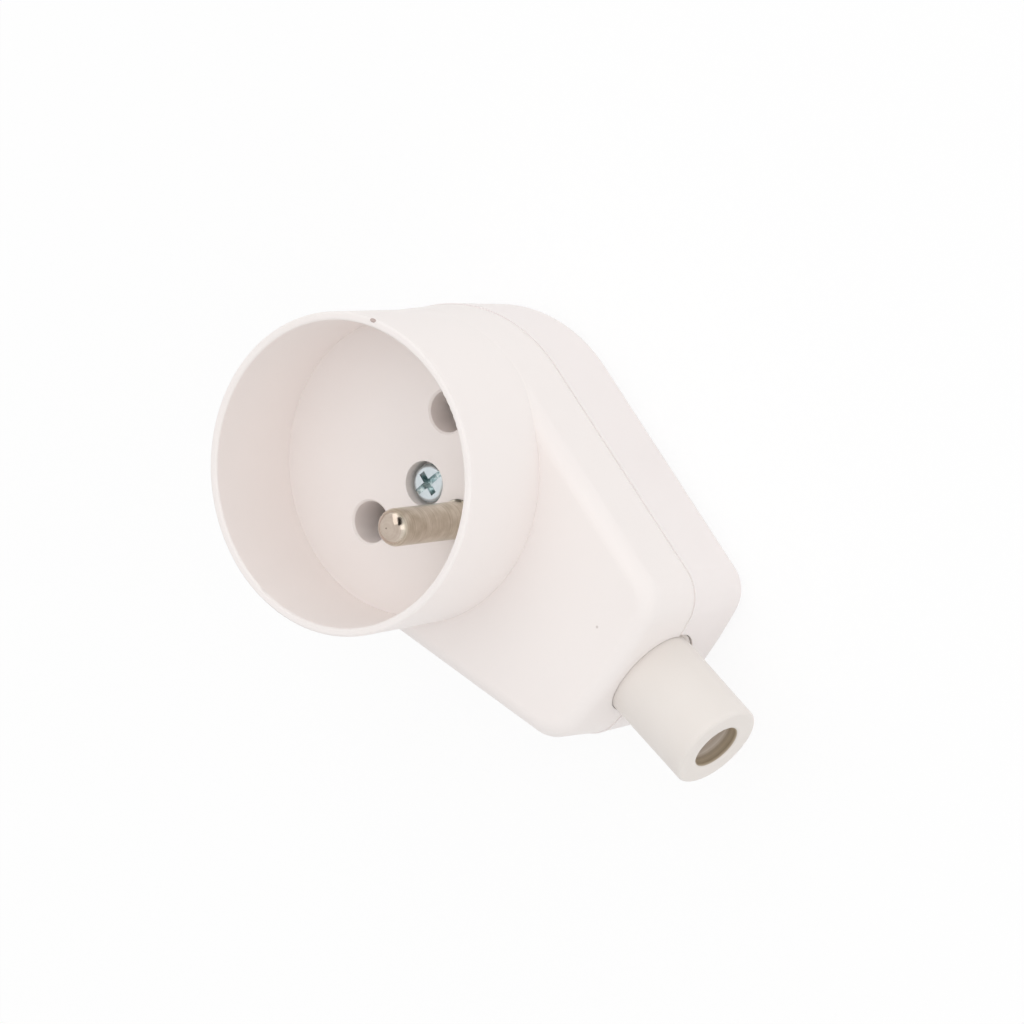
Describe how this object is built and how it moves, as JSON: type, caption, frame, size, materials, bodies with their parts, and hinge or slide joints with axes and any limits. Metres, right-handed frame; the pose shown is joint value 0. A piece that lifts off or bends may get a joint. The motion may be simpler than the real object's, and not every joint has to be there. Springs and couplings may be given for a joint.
{
  "type": "inline socket connector",
  "caption": "Rewirable inline socket for round-pin plugs: a deep cup with an earth pin on a tapered shell body, with a soft grommet at the side cable exit.",
  "frame": {"origin": "on the well's axis, at the flat rear face that the connector rests on", "axes": "+Z out of the well along the plug's path, +X from the well's axis to the cable exit, +Y across the two contact holes"},
  "size_m": [0.074, 0.0408, 0.0386],
  "materials": {
    "white_plastic": "satin moulded plastic",
    "soft_plastic": "matte soft plastic",
    "plated_brass": "brushed, nickel plated",
    "sheet_brass": "pressed and tumbled",
    "spring_steel": "oiled",
    "zinc_steel": "bright zinc plated"
  },
  "bodies": {
    "root": {"front_housing": "white_plastic", "rear_cover": "white_plastic", "cable_clamp_bar": "white_plastic", "cable_grommet": "soft_plastic", "earth_pin": "plated_brass", "earth_strap": "sheet_brass", "earth_terminal": "sheet_brass", "line_contact": "sheet_brass", "line_terminal": "sheet_brass", "neutral_contact": "sheet_brass", "neutral_terminal": "sheet_brass", "line_contact_spring": "spring_steel", "neutral_contact_spring": "spring_steel", "housing_screw": "zinc_steel", "terminal_screws": "zinc_steel", "cable_clamp_screws": "zinc_steel"}
  },
  "joints": []
}
